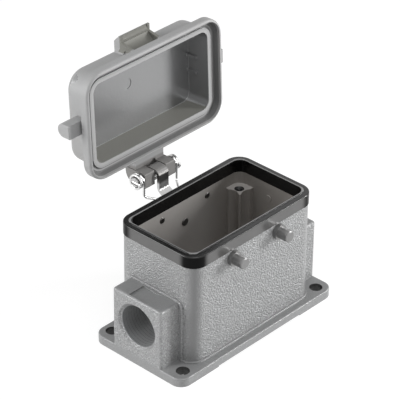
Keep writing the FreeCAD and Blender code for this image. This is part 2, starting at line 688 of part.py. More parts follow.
def finger_lift():
    """Ledge with a thin tip, a scooped face towards the collar between two cheeks, and a flared foot."""
    root = -SHELL_HALF_Y + SHELL_TAPER + PAST
    shell = -SHELL_HALF_Y
    tip = shell - LIFT_REACH
    under = COVER_DEEP - LIFT_TIP_DOWN
    top = under + LIFT_TIP_THICK
    back = COVER_DEEP - LIFT_BACK_DOWN
    low = under - LIFT_REACH
    side_view = [(root, low), (shell - LIFT_CHEEK_LOW, low), (shell - LIFT_CHEEK_TALL, under), (tip, under),
                 (tip, top), (tip + back - top, back), (root, back)]
    ledge = profile_yz(side_view, LIFT_HALF)
    scoop_half = LIFT_HALF - LIFT_CHEEK
    ledge = ledge.cut(rod(LIFT_REACH + LIFT_SCOOP_OVER, V(-scoop_half, tip, low), X_DIR, 2 * scoop_half))
    foot = shell - LIFT_FOOT_TALL
    wide = LIFT_HALF + LIFT_FOOT_FLARE
    plan = [V(-wide, root, 0), V(-wide, shell + SHELL_TAPER, 0), V(-LIFT_HALF, foot, 0)]
    plan = plan + [V(-point.x, point.y, 0) for point in plan[::-1]]
    plinth = Part.Face(Part.makePolygon(plan + plan[:1])).extrude(V(0, 0, LIFT_FOOT_LONG))
    plinth.translate(V(0, 0, back - LIFT_FOOT_DOWN - LIFT_FOOT_LONG))
    return fuse([ledge, plinth])


def hinge_lug():
    """Neck with two cheeks and a forked barrel that carries the axle, before boring."""
    root = SHELL_HALF_Y - SHELL_TAPER - PAST
    web_top = NOTCH_ROOF + WEB_OVER_NOTCH
    cheek_top = COVER_DEEP - CHEEK_BELOW_ROOF
    neck_half = BARREL_HALF - NECK_STEP
    arc_y = BARREL_FAR - CHEEK_ARC_R
    arc_z = cheek_top - CHEEK_ARC_R
    side_view = [(root, NECK_LOW), (BARREL_NEAR, NECK_LOW), (BARREL_NEAR, 0), (BARREL_FAR, 0)]
    for step in range(CHEEK_STEPS + 1):
        angle = math.pi / 2 * step / CHEEK_STEPS
        side_view.append((arc_y + CHEEK_ARC_R * math.cos(angle), arc_z + CHEEK_ARC_R * math.sin(angle)))
    side_view.append((root, cheek_top))
    whole = profile_yz(side_view, BARREL_HALF)
    hollow = BARREL_HALF - CHEEK_THICK
    whole = whole.cut(box((-hollow, hollow), (0, BARREL_FAR + PAST), (web_top, COVER_DEEP)))
    for side in (-1, 1):
        x_pair = sorted([side * neck_half, side * (BARREL_HALF + PAST)])
        whole = whole.cut(box(x_pair, (0, BARREL_NEAR), (0, COVER_DEEP)))
    whole = rounded(whole, BARREL_EDGE, lambda edge: at_height(0)(edge) and edge.BoundBox.XLength > PAST)
    notch = box((-NOTCH_HALF, NOTCH_HALF), (BARREL_NEAR - PAST, BARREL_FAR + PAST), (-PAST, NOTCH_ROOF))
    return whole.cut(notch)


def cover():
    """One-piece die-cast cover, swung to the open rest place."""
    shapes = [cover_shell(), side_lug(-1), side_lug(1), finger_lift(), hinge_lug()]
    solid = fuse(shapes).cut(cover_hollow())
    solid.translate(V(0, 0, COVER_Z))
    solid = solid.cut(rod(AXLE_R, V(-AXLE_HALF, PIVOT_Y, PIVOT_Z), X_DIR, 2 * AXLE_HALF))
    return swung(solid)


def build():
    """Make every piece and write one file for each."""
    os.makedirs("parts", exist_ok=True)
    pieces = {
        "base_housing": base_housing(),
        "rim_gasket": rim_gasket(),
        "hinge_bracket": hinge_bracket(),
        "bracket_rivet": bracket_rivet(),
        "hinge_axle": hinge_axle(),
        "torsion_spring": torsion_spring(),
        "cover": cover(),
    }
    for place, sign_y in (("front", -1), ("rear", 1)):
        for side, sign_x in (("left", -1), ("right", 1)):
            pieces["locking_pin_" + place + "_" + side] = locking_pin(sign_x, sign_y)
    for name, shape in pieces.items():
        print(name, "valid" if shape.isValid() else "broken", len(shape.Solids), round(shape.Volume, 1))
        shape.exportStep("parts/" + name + ".step")


build()
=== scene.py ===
"""Looks of a die-cast rectangular connector housing with its spring-hinged cover standing open.

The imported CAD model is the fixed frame. This script gives every piece its finish, adds the cut threads
of the cable entries and of the insert screw holes, and sets up the floor, the lights and the camera.
Lengths are in metres, +Z up, with the origin in the middle of the fixing holes on the mounting plane.
"""

import logging
import math
from dataclasses import dataclass, field
from enum import Enum
from typing import Optional, Sequence

import bpy
from mathutils import Matrix, Vector


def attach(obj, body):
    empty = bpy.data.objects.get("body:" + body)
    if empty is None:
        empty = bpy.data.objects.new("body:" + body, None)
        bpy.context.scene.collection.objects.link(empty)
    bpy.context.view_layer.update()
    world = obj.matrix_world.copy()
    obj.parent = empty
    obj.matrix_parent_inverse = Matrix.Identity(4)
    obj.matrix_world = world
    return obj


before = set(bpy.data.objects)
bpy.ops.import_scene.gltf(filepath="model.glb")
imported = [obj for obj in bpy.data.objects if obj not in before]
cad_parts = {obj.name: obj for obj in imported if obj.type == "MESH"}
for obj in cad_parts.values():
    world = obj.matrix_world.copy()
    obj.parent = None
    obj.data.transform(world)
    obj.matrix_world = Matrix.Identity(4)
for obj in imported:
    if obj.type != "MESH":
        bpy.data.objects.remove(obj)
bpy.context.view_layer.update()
LOG = logging.getLogger("connector_housing")
MM = 0.001
ENTRY_Z = 18.5 * MM
SCREW_X = 28.5 * MM
SCREW_Y = 13.5 * MM


class Side(Enum):
    """The two short sides of the housing."""

    LEFT = -1
    RIGHT = 1


class Body(Enum):
    """Names of the CAD bodies that pieces ride on."""

    BASE = "base"
    LID = "lid"


class Slot(Enum):
    """Names of the material slots."""

    HOUSING = "housing_casting"
    COVER = "cover_casting"
    SEAL = "seal"
    STAINLESS = "stainless"
    WIRE = "spring_wire"
    PIN = "pin_steel"


class NodeInk:
    """A short hand for writing the nodes of one shader tree."""

    def __init__(self, name: str) -> None:
        """Start an empty material.

        Args:
            name: Name of the new material.
        """
        self.material = bpy.data.materials.new(name)
        self.material.use_nodes = True
        self.tree = self.material.node_tree
        self.tree.nodes.clear()

    def node(self, kind: str, **settings: object) -> bpy.types.Node:
        """Add a node and set its properties.

        Args:
            kind: Blender's type name of the node.
            settings: Property values by property name.

        Returns:
            The new node.
        """
        made = self.tree.nodes.new(kind)
        for key, value in settings.items():
            setattr(made, key, value)
        return made

    def link(self, source: bpy.types.NodeSocket, target: bpy.types.NodeSocket) -> None:
        """Connect two sockets."""
        self.tree.links.new(source, target)

    def feed(self, target: bpy.types.NodeSocket, value: object) -> None:
        """Put a socket's output or a constant into an input.

        Args:
            target: The input to fill.
            value: Another socket, a number or a tuple.
        """
        if isinstance(value, bpy.types.NodeSocket):
            self.link(value, target)
        else:
            target.default_value = value

    def math(self, operation: str, first: object, second: object = 0.0, third: object = 0.0,
             clamp: bool = False) -> bpy.types.NodeSocket:
        """A Math node of the given operation.

        Args:
            operation: Blender's name of the operation.
            first: First input.
            second: Second input.
            third: Third input.
            clamp: True to hold the result between 0 and 1.

        Returns:
            The node's output.
        """
        made = self.node("ShaderNodeMath", operation=operation, use_clamp=clamp)
        for socket, value in zip(made.inputs, (first, second, third)):
            self.feed(socket, value)
        return made.outputs[0]

    def ramp(self, value: object, low: float, high: float) -> bpy.types.NodeSocket:
        """A smooth step of a value from 0 at low to 1 at high."""
        made = self.node("ShaderNodeMapRange", interpolation_type="SMOOTHSTEP")
        self.feed(made.inputs["Value"], value)
        made.inputs["From Min"].default_value = low
        made.inputs["From Max"].default_value = high
        return made.outputs["Result"]

    def mix_colour(self, factor: object, first: object, second: object) -> bpy.types.NodeSocket:
        """A colour that goes from the first to the second with the factor."""
        made = self.node("ShaderNodeMix", data_type="RGBA")
        self.feed(made.inputs[0], factor)
        self.feed(made.inputs[6], first)
        self.feed(made.inputs[7], second)
        return made.outputs[2]

    def mix_shader(self, factor: bpy.types.NodeSocket, first: bpy.types.Node,
                   second: bpy.types.Node) -> bpy.types.NodeSocket:
        """A shader that goes from the first to the second with the factor."""
        made = self.node("ShaderNodeMixShader")
        self.link(factor, made.inputs[0])
        self.link(first.outputs[0], made.inputs[1])
        self.link(second.outputs[0], made.inputs[2])
        return made.outputs[0]

    def place(self) -> bpy.types.NodeSocket:
        """Object coordinates, in metres."""
        return self.node("ShaderNodeTexCoord").outputs["Object"]

    def noise(self, vector: bpy.types.NodeSocket, scale: float, detail: float = 2.0,
              roughness: float = 0.5) -> bpy.types.NodeSocket:
        """Smooth noise at a scale in features to the metre."""
        made = self.node("ShaderNodeTexNoise")
        self.link(vector, made.inputs["Vector"])
        made.inputs["Scale"].default_value = scale
        made.inputs["Detail"].default_value = detail
        made.inputs["Roughness"].default_value = roughness
        return made.outputs["Fac"]

    def cells(self, vector: bpy.types.NodeSocket, scale: float, smoothness: float) -> bpy.types.NodeSocket:
        """Distance inside rounded cells, for hammered paint."""
        made = self.node("ShaderNodeTexVoronoi", feature="SMOOTH_F1")
        self.link(vector, made.inputs["Vector"])
        made.inputs["Scale"].default_value = scale
        made.inputs["Smoothness"].default_value = smoothness
        return made.outputs["Distance"]

    def split(self, vector: bpy.types.NodeSocket) -> Sequence[bpy.types.NodeSocket]:
        """The three parts of a vector."""
        made = self.node("ShaderNodeSeparateXYZ")
        self.link(vector, made.inputs[0])
        return made.outputs

    def both(self, first: object, second: object) -> bpy.types.NodeSocket:
        """1 where both masks are 1."""
        return self.math("MULTIPLY", first, second)

    def share(self, mask: object, part: float) -> bpy.types.NodeSocket:
        """A mask at a part of its strength."""
        return self.math("MULTIPLY", mask, part)

    def either(self, first: object, second: object) -> bpy.types.NodeSocket:
        """1 where one of the masks is 1."""
        return self.math("MAXIMUM", first, second)

    def inverse(self, mask: object) -> bpy.types.NodeSocket:
        """1 where the mask is 0."""
        return self.math("SUBTRACT", 1.0, mask)

    def inside_circle(self, first: object, second: object, middle: tuple[float, float],
                      radius: float) -> bpy.types.NodeSocket:
        """1 inside a circle.

        Args:
            first: First coordinate.
            second: Second coordinate.
            middle: Middle of the circle.
            radius: Radius of the circle.

        Returns:
            The mask.
        """
        one = self.math("SUBTRACT", first, middle[0])
        two = self.math("SUBTRACT", second, middle[1])
        square = self.math("ADD", self.math("MULTIPLY", one, one), self.math("MULTIPLY", two, two))
        return self.math("LESS_THAN", square, radius ** 2)

    def inside_outline(self, first: object, second: object, half: tuple[float, float],
                       radius: float) -> bpy.types.NodeSocket:
        """1 inside a rectangle with rounded corners about the origin.

        Args:
            first: First coordinate, without its sign.
            second: Second coordinate, without its sign.
            half: Half sizes of the rectangle.
            radius: Corner radius.

        Returns:
            The mask.
        """
        one = self.math("MAXIMUM", self.math("SUBTRACT", first, half[0] - radius), 0.0)
        two = self.math("MAXIMUM", self.math("SUBTRACT", second, half[1] - radius), 0.0)
        square = self.math("ADD", self.math("MULTIPLY", one, one), self.math("MULTIPLY", two, two))
        return self.math("LESS_THAN", square, radius ** 2)

    def bump(self, height: bpy.types.NodeSocket, distance: float, strength: object = 1.0,
             normal: Optional[bpy.types.NodeSocket] = None) -> bpy.types.NodeSocket:
        """A bumped normal.

        Args:
            height: Height between 0 and 1.
            distance: Height of 1 in metres.
            strength: Share of the bump that shows.
            normal: Normal to start from.

        Returns:
            The normal output.
        """
        made = self.node("ShaderNodeBump")
        made.inputs["Distance"].default_value = distance
        self.feed(made.inputs["Strength"], strength)
        self.link(height, made.inputs["Height"])
        if normal is not None:
            self.link(normal, made.inputs["Normal"])
        return made.outputs["Normal"]

    def shader(self, colour: object, roughness: object, normal: Optional[bpy.types.NodeSocket] = None,
               metallic: object = 0.0, specular: object = 0.5, coat: object = 0.0,
               coat_roughness: float = 0.2) -> bpy.types.Material:
        """Finish the tree with a Principled shader.

        Args:
            colour: Base colour, a socket or a tuple.
            roughness: Roughness, a socket or a number.
            normal: Normal output to use.
            metallic: Metallic value.
            specular: Specular level.
            coat: Weight of the clear coat.
            coat_roughness: Roughness of the clear coat.

        Returns:
            The finished material.
        """
        made = self.node("ShaderNodeBsdfPrincipled")
        inputs = {"Base Color": colour, "Roughness": roughness, "Metallic": metallic, "Specular IOR Level": specular,
                  "Coat Weight": coat, "Coat Roughness": coat_roughness}
        for name, value in inputs.items():
            self.feed(made.inputs[name], value)
        if normal is not None:
            self.link(normal, made.inputs["Normal"])
        out = self.node("ShaderNodeOutputMaterial")
        self.link(made.outputs[0], out.inputs["Surface"])
        return self.material


class WorldInk(NodeInk):
    """The same short hand for the tree of the world."""

    def __init__(self, name: str) -> None:
        """Start an empty world and make it the scene's own.

        Args:
            name: Name of the new world.
        """
        world = bpy.data.worlds.new(name)
        world.use_nodes = True
        bpy.context.scene.world = world
        self.tree = world.node_tree
        self.tree.nodes.clear()


def grey(value: float, warm: float = 0.0) -> tuple[float, float, float, float]:
    """A grey of the given linear value, a little warmer for a positive second argument."""
    return (value * (1 + warm), value, value * (1 - warm), 1.0)


@dataclass(frozen=True)
class HammeredPaint:
    """Grey hammered paint outside, bare smooth metal inside the cavity, the bores and the holes, with painted shade on
    the vertical corners, on faces that look up, on the flange, towards +X in the cavity and in the holes, and painted
    light on faces that look up inside the cavity.
    """

    paint: float = 0.36
    speck: float = 0.62
    pit: float = 0.20
    bare: float = 0.32
    bare_streak: float = 1.3
    bore: float = 0.33
    hole: float = 0.03
    stain: float = 0.255
    top: float = 0.22
    pillar_top_light: float = 0.55
    painted_shade_right_x: tuple[float, float] = (4.0 * MM, 27.0 * MM)
    cell_scale: float = 1500.0
    cell_height: float = 0.00028
    fine_scale: float = 2400.0
    grain_scale: float = 1900.0
    flow_scale: float = 60.0
    dimple: tuple[float, float] = (0.15, 0.7)
    dimple_share: float = 0.7
    fine_share: float = 0.3
    flake: tuple[float, float] = (0.52, 0.72)
    flake_share: float = 0.75
    pits: tuple[float, float] = (0.50, 0.28)
    pit_share: float = 0.7
    sheen: float = 0.25
    rough_paint: float = 0.34
    rough_inside: float = 0.06
    up_slope: tuple[float, float] = (0.5, 0.95)
    calm_corner: float = 0.8
    calm_top: float = 0.75
    calm_flange: float = 0.7
    corner_shade_share: float = 0.7
    lit_share: float = 0.85
    top_shade_share: float = 0.64
    flange_shade_share: float = 0.25
    cavity_x: float = 33.35 * MM
    cavity_y: float = 18.05 * MM
    cavity_floor: float = 2.5 * MM
    entry_r: float = 9.35 * MM
    fix_x: float = 41.0 * MM
    fix_y: float = 20.0 * MM
    fix_r: float = 2.85 * MM
    screw_r: float = 2.1 * MM
    corner_x: tuple[float, float] = (30.5 * MM, 34.5 * MM)
    corner_y: tuple[float, float] = (15.5 * MM, 19.5 * MM)
    flange_top: tuple[float, float] = (3.0 * MM, 5.4 * MM)

    def build(self) -> bpy.types.Material:
        """Write the finish as a node material."""
        ink = NodeInk("hammered_grey_paint")
        place = ink.place()
        x, y, z = ink.split(place)
        across = ink.math("ABSOLUTE", x)
        along = ink.math("ABSOLUTE", y)
        in_x = ink.math("LESS_THAN", across, self.cavity_x)
        in_y = ink.math("LESS_THAN", along, self.cavity_y)
        cavity = ink.both(ink.both(in_x, in_y), ink.math("GREATER_THAN", z, self.cavity_floor))
        bore = ink.inside_circle(y, z, (0.0, ENTRY_Z), self.entry_r)
        inside = ink.either(cavity, bore)
        fixing = ink.inside_circle(across, along, (self.fix_x, self.fix_y), self.fix_r)
        screw = ink.inside_circle(across, along, (SCREW_X, SCREW_Y), self.screw_r)

        corner = ink.both(ink.ramp(across, *self.corner_x), ink.ramp(along, *self.corner_y))
        over_flange = ink.ramp(z, *self.flange_top)
        corner = ink.both(corner, over_flange)
        flange = ink.inverse(over_flange)
        geometry = ink.node("ShaderNodeNewGeometry")
        facing_up = ink.ramp(ink.split(geometry.outputs["Normal"])[2], *self.up_slope)
        calm = ink.either(ink.share(corner, self.calm_corner), ink.share(facing_up, self.calm_top))
        calm = ink.either(calm, ink.share(flange, self.calm_flange))
        lively = ink.both(ink.inverse(inside), ink.inverse(calm))

        cells = ink.cells(place, self.cell_scale, 0.45)
        fine = ink.noise(place, self.fine_scale, 3.0, 0.6)
        grain = ink.noise(place, self.grain_scale)
        dimple = ink.ramp(cells, *self.dimple)
        height = ink.math("ADD", ink.share(dimple, self.dimple_share), ink.share(fine, self.fine_share))
        normal = ink.bump(height, self.cell_height, lively)

        flake = ink.both(ink.ramp(grain, *self.flake), lively)
        pit = ink.both(ink.ramp(grain, *self.pits), lively)
        colour = ink.mix_colour(ink.share(flake, self.flake_share), grey(self.paint, -0.008), grey(self.speck, -0.01))
        colour = ink.mix_colour(ink.share(pit, self.pit_share), colour, grey(self.pit, -0.006))
        # Painted shade: the vertical corners of the body are darkened towards the pit grey.
        colour = ink.mix_colour(ink.share(corner, self.corner_shade_share), colour, grey(self.pit, -0.01))
        # Painted shade: faces that look up and the whole flange are darkened.
        level = ink.either(ink.share(facing_up, self.top_shade_share), ink.share(flange, self.flange_shade_share))
        colour = ink.mix_colour(level, colour, grey(self.top, -0.01))

        flow = ink.noise(place, self.flow_scale, 4.0, 0.6)
        bare = ink.mix_colour(flow, grey(self.bare, 0.05), grey(self.bare * self.bare_streak, 0.04))
        # Painted shade: the bare metal in the cavity turns darker and warmer towards +X.
        bare = ink.mix_colour(ink.ramp(x, *self.painted_shade_right_x), bare, grey(self.stain, 0.07))
        # Painted light: faces that look up inside the cavity, such as the pillar ends, are lightened.
        lit_top = ink.share(ink.both(facing_up, inside), self.lit_share)
        bare = ink.mix_colour(lit_top, bare, grey(self.pillar_top_light, 0.04))

        colour = ink.mix_colour(inside, colour, bare)
        colour = ink.mix_colour(ink.both(bore, ink.inverse(cavity)), colour, grey(self.bore, -0.02))
        # Painted shade: the fixing holes, and the screw holes inside, are near black.
        colour = ink.mix_colour(ink.either(fixing, ink.both(screw, inside)), colour, grey(self.hole))
        rough = ink.math("MULTIPLY_ADD", inside, self.rough_inside, self.rough_paint)
        return ink.shader(colour, rough, normal, metallic=ink.share(lively, self.sheen))


@dataclass(frozen=True)
class CoverMasks:
    """Regions of the cover, told apart in its closed coordinates from the middle of the rim."""

    swing: float = math.radians(92.67)
    rim_middle: tuple[float, float, float] = (0.0, 33.62 * MM, 91.40 * MM)
    lip_half: tuple[float, float] = (35.05 * MM, 20.05 * MM)
    lip_corner: float = 6.0 * MM
    lip_level: float = 2.8 * MM
    lip_edge: float = 0.9 * MM
    edge_depth: float = 13.3 * MM
    mouth_half: tuple[float, float] = (37.6 * MM, 22.6 * MM)
    mouth_corner: float = 7.0 * MM
    groove: tuple[float, float] = (1.0 * MM, 3.3 * MM)
    seat_line: tuple[float, float] = (0.8 * MM, 1.45 * MM)
    barrel: tuple[float, float] = (29.6 * MM, 30.6 * MM)
    inner_low: float = 17.2 * MM
    ceiling: float = 13.65 * MM
    ceiling_play: float = 0.3 * MM
    scoop_side: float = -21.25 * MM
    scoop_depth: tuple[float, float] = (5.6 * MM, 11.9 * MM)

    def write(self, ink: NodeInk, place: bpy.types.NodeSocket) -> dict[str, bpy.types.NodeSocket]:
        """Write the masks into a material.

        Args:
            ink: The material's nodes.
            place: Object coordinates.

        Returns:
            The masks by name.
        """
        closed = ink.node("ShaderNodeMapping", vector_type="TEXTURE")
        ink.link(place, closed.inputs["Vector"])
        closed.inputs["Location"].default_value = self.rim_middle
        closed.inputs["Rotation"].default_value = (-self.swing, 0.0, 0.0)
        x, y, depth = ink.split(closed.outputs[0])
        across = ink.math("ABSOLUTE", x)
        along = ink.math("ABSOLUTE", y)
        over_lip = ink.inside_outline(across, along, self.lip_half, self.lip_corner)
        narrow = (self.lip_half[0] - self.lip_edge, self.lip_half[1] - self.lip_edge)
        crest_highlight = ink.inside_outline(across, along, narrow, self.lip_corner - self.lip_edge)
        mouth = ink.inside_outline(across, along, self.mouth_half, self.mouth_corner)
        near, far = (ink.inside_outline(across, along, (self.lip_half[0] + past, self.lip_half[1] + past),
                                        self.lip_corner + past) for past in self.seat_line)
        seat = ink.both(far, ink.inverse(near))
        deep = ink.both(ink.math("GREATER_THAN", depth, self.groove[0]), ink.math("LESS_THAN", depth, self.groove[1]))
        past_lip = ink.both(over_lip, ink.math("GREATER_THAN", depth, self.lip_level))
        walls = ink.both(past_lip, ink.math("LESS_THAN", depth, self.ceiling))
        in_scoop = ink.both(ink.math("GREATER_THAN", depth, self.scoop_depth[0]),
                            ink.math("LESS_THAN", depth, self.scoop_depth[1]))
        # The masks for the sealing ridge and the inner corner carry painted highlights; those for the groove, the
        # hinge knuckle, the lower inner wall and the scoop carry painted shade.
        return {
            "lip": ink.both(crest_highlight, ink.math("LESS_THAN", depth, self.lip_level)),
            "edge": ink.both(walls, ink.math("GREATER_THAN", depth, self.edge_depth)),
            "groove": ink.both(ink.both(mouth, deep), ink.inverse(ink.either(over_lip, seat))),
            "walls": walls,
            "barrel": ink.ramp(y, *self.barrel),
            "inside": ink.both(past_lip, ink.math("LESS_THAN", depth, self.ceiling + self.ceiling_play)),
            "low_wall": ink.both(walls, ink.math("GREATER_THAN", y, self.inner_low)),
            "scoop": ink.both(ink.math("LESS_THAN", y, self.scoop_side), in_scoop),
        }


@dataclass(frozen=True)
class SmoothPaint:
    """Satin grey paint of the cover, with painted highlights on the sealing ridge and where the inner walls meet the
    ceiling, and painted shade in the groove, on the hinge knuckle, on the lower inner wall, in the finger-lift scoop
    and over the glossier inside.
    """

    paint: float = 0.42
    lip: float = 0.47
    edge: float = 0.50
    shaded_glossy_roof: float = 0.33
    shaded: float = 0.14
    barrel: float = 0.25
    olive_shade: tuple[float, float, float, float] = (0.195, 0.193, 0.166, 1.0)
    dust: float = 0.55
    dust_share: float = 0.2
    patch: float = 0.95
    lip_share: float = 0.8
    groove_share: float = 0.75
    wall_share: float = 0.75
    scoop_share: float = 0.8
    barrel_share: float = 0.9
    edge_share: float = 0.8
    metal_paint: float = 0.08
    metal_roof: float = 0.5
    metal_walls: float = -0.07
    rough_paint: float = 0.54
    rough_roof: float = -0.28
    gloss: float = 0.3
    ripple_scale: float = 700.0
    ripple_height: float = 0.00005
    patch_scale: float = 45.0
    dust_scale: float = 1900.0
    masks: CoverMasks = CoverMasks()

    def build(self) -> bpy.types.Material:
        """Write the finish as a node material."""
        ink = NodeInk("smooth_grey_paint")
        place = ink.place()
        where = self.masks.write(ink, place)
        ripple = ink.noise(place, self.ripple_scale, 3.0, 0.55)
        patches = ink.ramp(ink.noise(place, self.patch_scale, 3.0), 0.3, 0.7)
        dust = ink.ramp(ink.noise(place, self.dust_scale), 0.55, 0.75)
        colour = ink.mix_colour(patches, grey(self.paint * self.patch, 0.004), grey(self.paint, -0.006))
        colour = ink.mix_colour(ink.share(dust, self.dust_share), colour, grey(self.dust))
        # Painted highlight: the face of the sealing ridge is lightened.
        colour = ink.mix_colour(ink.share(where["lip"], self.lip_share), colour, grey(self.lip))
        # Painted shade: the groove round the sealing ridge is darkened, with the seat line left out so that it reads
        # as a pale line.
        colour = ink.mix_colour(ink.share(where["groove"], self.groove_share), colour, grey(self.shaded))
        # Painted shade with a yellowish-green cast: the lower inner wall and the finger-lift scoop are darkened.
        olive_shade_mask = ink.either(ink.share(where["low_wall"], self.wall_share), ink.share(where["scoop"], self.scoop_share))
        colour = ink.mix_colour(olive_shade_mask, colour, self.olive_shade)
        # Painted shade: the hinge knuckle is darkened.
        colour = ink.mix_colour(ink.share(where["barrel"], self.barrel_share), colour, grey(self.barrel, 0.03))
        # Painted shade: the inside of the cover, apart from the lower inner wall, is darkened, and it is also made
        # glossier and more metallic.
        shaded_glossy_roof = ink.both(where["inside"], ink.inverse(where["low_wall"]))
        colour = ink.mix_colour(shaded_glossy_roof, colour, grey(self.shaded_glossy_roof, -0.008))
        # Painted highlight: a thin band where the inner walls meet the ceiling is lightened.
        colour = ink.mix_colour(ink.share(where["edge"], self.edge_share), colour, grey(self.edge))
        metal = ink.math("MULTIPLY_ADD", where["walls"], self.metal_walls, self.metal_paint)
        metal = ink.math("MULTIPLY_ADD", shaded_glossy_roof, self.metal_roof, metal)
        rough = ink.math("MULTIPLY_ADD", shaded_glossy_roof, self.rough_roof, self.rough_paint)
        normal = ink.bump(ripple, self.ripple_height, 0.8)
        return ink.shader(colour, rough, normal, metallic=metal, specular=self.gloss)


@dataclass(frozen=True)
class Elastomer:
    """Glossy black moulded rubber, with a painted reflection on the flat outer sides and a painted highlight along the
    inner ridge of the upper face.
    """

    black: float = 0.004
    side_reflection: float = 0.080
    crest_highlight: float = 0.34
    crest_highlight_share: float = 0.8
    coat_share: float = 0.8
    gloss: float = 0.5
    gloss_corner: float = -0.42
    skin_scale: float = 900.0
    skin_height: float = 0.00002
    cloud_scale: float = 90.0
    side_x: float = 36.35 * MM
    side_y: float = 21.35 * MM
    corner_x: tuple[float, float] = (27.5 * MM, 31.0 * MM)
    corner_y: tuple[float, float] = (12.5 * MM, 16.0 * MM)
    edge_z: tuple[float, float] = (55.1 * MM, 54.5 * MM)
    crest_x: float = 34.0 * MM
    crest_y: float = 18.7 * MM
    crest_z: float = 55.28 * MM

    def build(self) -> bpy.types.Material:
        """Write the finish as a node material."""
        ink = NodeInk("glossy_black_rubber")
        place = ink.place()
        x, y, z = ink.split(place)
        across = ink.math("ABSOLUTE", x)
        along = ink.math("ABSOLUTE", y)
        outer = ink.either(ink.math("GREATER_THAN", across, self.side_x), ink.math("GREATER_THAN", along, self.side_y))
        corner = ink.both(ink.ramp(across, *self.corner_x), ink.ramp(along, *self.corner_y))
        flat = ink.both(ink.both(outer, ink.inverse(corner)), ink.ramp(z, *self.edge_z))
        skin = ink.noise(place, self.skin_scale)
        cloud = ink.noise(place, self.cloud_scale, 3.0, 0.6)
        # Painted reflection: the flat outer sides are lightened in soft clouds, while the corners stay black.
        side_reflection = ink.both(flat, ink.math("MULTIPLY_ADD", cloud, 0.6, 0.6))
        colour = ink.mix_colour(side_reflection, grey(self.black), grey(self.side_reflection, 0.02))
        # Painted highlight: the inner ridge of the upper face is lightened.
        crest_highlight = ink.both(ink.math("LESS_THAN", across, self.crest_x), ink.math("LESS_THAN", along, self.crest_y))
        crest_highlight = ink.both(crest_highlight, ink.math("GREATER_THAN", z, self.crest_z))
        colour = ink.mix_colour(ink.share(crest_highlight, self.crest_highlight_share), colour, grey(self.crest_highlight))
        rough = ink.math("MULTIPLY_ADD", cloud, 0.08, 0.16)
        normal = ink.bump(skin, self.skin_height, 0.5)
        clean = ink.both(corner, ink.ramp(z, *self.edge_z))
        gloss = ink.math("MULTIPLY_ADD", clean, self.gloss_corner, self.gloss)
        return ink.shader(colour, rough, normal, specular=gloss, coat=ink.share(flat, self.coat_share))


@dataclass(frozen=True)
class Steel:
    """Bare or plated steel, with a fine drawn or rolled grain, and painted shade inside the housing and above a given
    height.
    """

    name: str
    tone: float
    roughness: float
    grain: tuple[float, float, float] = (1500.0, 1500.0, 200.0)
    grain_height: float = 0.00001
    dark: float = 0.07
    dark_share: float = 0.85
    dark_inside_y: float = 17.95 * MM
    dark_above_z: Optional[float] = None
    dark_fade: float = 1.5 * MM
    blotch: float = 0.82
    blotch_scale: float = 220.0
    crown: float = 0.27
    crown_above_z: Optional[float] = None
    crown_fade: float = 0.8 * MM
    crown_rough: float = 0.15
    crown_metal: float = -0.9

    def build(self) -> bpy.types.Material:
        """Write the finish as a node material."""
        ink = NodeInk(self.name)
        place = ink.place()
        mapping = ink.node("ShaderNodeMapping")
        ink.link(place, mapping.inputs["Vector"])
        mapping.inputs["Scale"].default_value = self.grain
        grain = ink.noise(mapping.outputs[0], 1.0, 3.0, 0.6)
        blotch = ink.noise(place, self.blotch_scale, 3.0, 0.55)
        colour = ink.mix_colour(blotch, grey(self.tone * self.blotch, 0.008), grey(self.tone))
        _, y, z = ink.split(place)
        # Painted shade: the steel is darkened inside the housing and, where a height is given, above it.
        shade = ink.math("LESS_THAN", ink.math("ABSOLUTE", y), self.dark_inside_y)
        if self.dark_above_z is not None:
            shade = ink.either(shade, ink.ramp(z, self.dark_above_z - self.dark_fade, self.dark_above_z))
        colour = ink.mix_colour(ink.share(shade, self.dark_share), colour, grey(self.dark, 0.06))
        rough = ink.math("MULTIPLY_ADD", grain, 0.12, self.roughness)
        normal = ink.bump(grain, self.grain_height, 0.7)
        if self.crown_above_z is None:
            return ink.shader(colour, rough, normal, metallic=1.0)
        crown = ink.ramp(z, self.crown_above_z - self.crown_fade, self.crown_above_z)
        colour = ink.mix_colour(crown, colour, grey(self.crown, 0.02))
        rough = ink.math("ADD", rough, ink.share(crown, self.crown_rough))
        return ink.shader(colour, rough, normal, metallic=ink.math("MULTIPLY_ADD", crown, self.crown_metal, 1.0))


class Finishes:
    """All finishes of the object, built once."""

    def __init__(self) -> None:
        """Build every material."""
        self.casting = HammeredPaint().build()
        self.cover = SmoothPaint().build()
        self.rubber = Elastomer().build()
        self.sheet = Steel("rolled_stainless_sheet", 0.62, 0.28, dark_above_z=54.5 * MM,
                           crown_above_z=58.6 * MM).build()
        self.axle = Steel("turned_stainless_pin", 0.60, 0.25).build()
        self.wire = Steel("bright_spring_wire", 0.80, 0.15).build()
        self.pin = Steel("grey_plated_steel", 0.29, 0.30, (900.0, 900.0, 900.0)).build()
        self.thread = Steel("cut_thread_metal", 0.16, 0.60, (400.0, 2400.0, 2400.0), dark_inside_y=0.0).build()


def dress(node: str, material: bpy.types.Material) -> None:
    """Give a CAD node its finish.

    Args:
        node: Name of the node.
        material: Material for all of its slots.
    """
    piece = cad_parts[node]
    if not piece.material_slots:
        piece.data.materials.append(material)
    for slot in piece.material_slots:
        slot.material = material
    LOG.info("dressed %s with %s", node, material.name)


